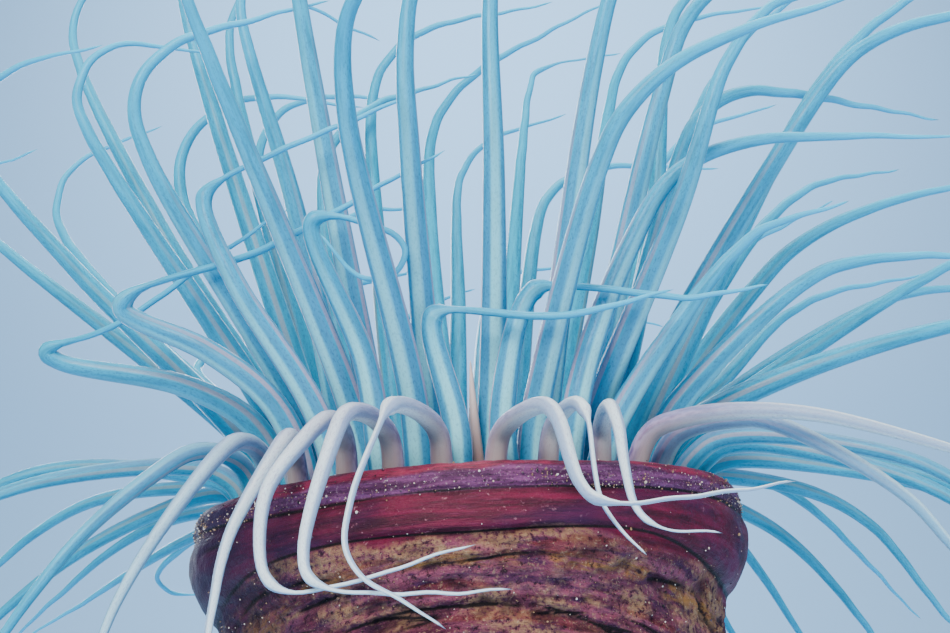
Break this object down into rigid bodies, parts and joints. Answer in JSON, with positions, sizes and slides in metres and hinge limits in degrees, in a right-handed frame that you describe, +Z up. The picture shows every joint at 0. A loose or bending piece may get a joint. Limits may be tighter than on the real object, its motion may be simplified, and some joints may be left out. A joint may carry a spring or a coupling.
{
  "type": "tube-dwelling anemone",
  "caption": "Still, life-size tube-dwelling anemone: a crown of long tapering tentacles rising and arching from a rolled maroon lip on a wrinkled felt tube with a flat foot.",
  "frame": {"origin": "middle of the flat underside of the tube's foot, on the floor", "axes": "+Z up along the tube, -Y the front, where the outer tentacles hang over the lip, +X to the right seen from the front"},
  "size_m": [0.2309, 0.2, 0.2849],
  "materials": {
    "tube_felt": "wrinkled brown-red felt with sand in it",
    "lip_felt": "maroon, leathery, slightly moist felt",
    "column_skin": "smooth moist skin",
    "disc_skin": "smooth moist skin",
    "labial_skin": "smooth moist skin",
    "outer_tentacle_skin": "satin, milky, lilac at the root",
    "second_tentacle_skin": "satin, milky blue-white",
    "third_tentacle_skin": "satin, milky cyan",
    "inner_tentacle_skin": "satin, milky cyan"
  },
  "bodies": {
    "root": {"tube_sole": "tube_felt", "tube_foot": "tube_felt", "tube_lower": "tube_felt", "tube_upper": "tube_felt", "tube_lip": "lip_felt", "column": "column_skin", "oral_disc": "disc_skin", "labial_tentacles_1": "labial_skin", "labial_tentacles_2": "labial_skin", "labial_tentacles_3": "labial_skin", "labial_tentacles_4": "labial_skin", "tentacles_outer_01": "outer_tentacle_skin", "tentacles_outer_02": "outer_tentacle_skin", "tentacles_outer_03": "outer_tentacle_skin", "tentacles_outer_04": "outer_tentacle_skin", "tentacles_outer_05": "outer_tentacle_skin", "tentacles_outer_06": "outer_tentacle_skin", "tentacles_outer_07": "outer_tentacle_skin", "tentacles_outer_08": "outer_tentacle_skin", "tentacles_outer_09": "outer_tentacle_skin", "tentacles_outer_10": "outer_tentacle_skin", "tentacles_outer_11": "outer_tentacle_skin", "tentacles_outer_12": "outer_tentacle_skin", "tentacles_outer_13": "outer_tentacle_skin", "tentacles_outer_14": "outer_tentacle_skin", "tentacles_outer_15": "outer_tentacle_skin", "tentacles_outer_16": "outer_tentacle_skin", "tentacles_outer_17": "outer_tentacle_skin", "tentacles_second_01": "second_tentacle_skin", "tentacles_second_02": "second_tentacle_skin", "tentacles_second_03": "second_tentacle_skin", "tentacles_second_04": "second_tentacle_skin", "tentacles_second_05": "second_tentacle_skin", "tentacles_second_06": "second_tentacle_skin", "tentacles_second_07": "second_tentacle_skin", "tentacles_second_08": "second_tentacle_skin", "tentacles_second_09": "second_tentacle_skin", "tentacles_second_10": "second_tentacle_skin", "tentacles_second_11": "second_tentacle_skin", "tentacles_third_01": "third_tentacle_skin", "tentacles_third_02": "third_tentacle_skin", "tentacles_third_03": "third_tentacle_skin", "tentacles_third_04": "third_tentacle_skin", "tentacles_third_05": "third_tentacle_skin", "tentacles_third_06": "third_tentacle_skin", "tentacles_third_07": "third_tentacle_skin", "tentacles_third_08": "third_tentacle_skin", "tentacles_third_09": "third_tentacle_skin", "tentacles_inner_01": "inner_tentacle_skin", "tentacles_inner_02": "inner_tentacle_skin", "tentacles_inner_03": "inner_tentacle_skin", "tentacles_inner_04": "inner_tentacle_skin", "tentacles_inner_05": "inner_tentacle_skin", "tentacles_inner_06": "inner_tentacle_skin", "tentacles_inner_07": "inner_tentacle_skin", "tentacles_inner_08": "inner_tentacle_skin"}
  },
  "joints": []
}
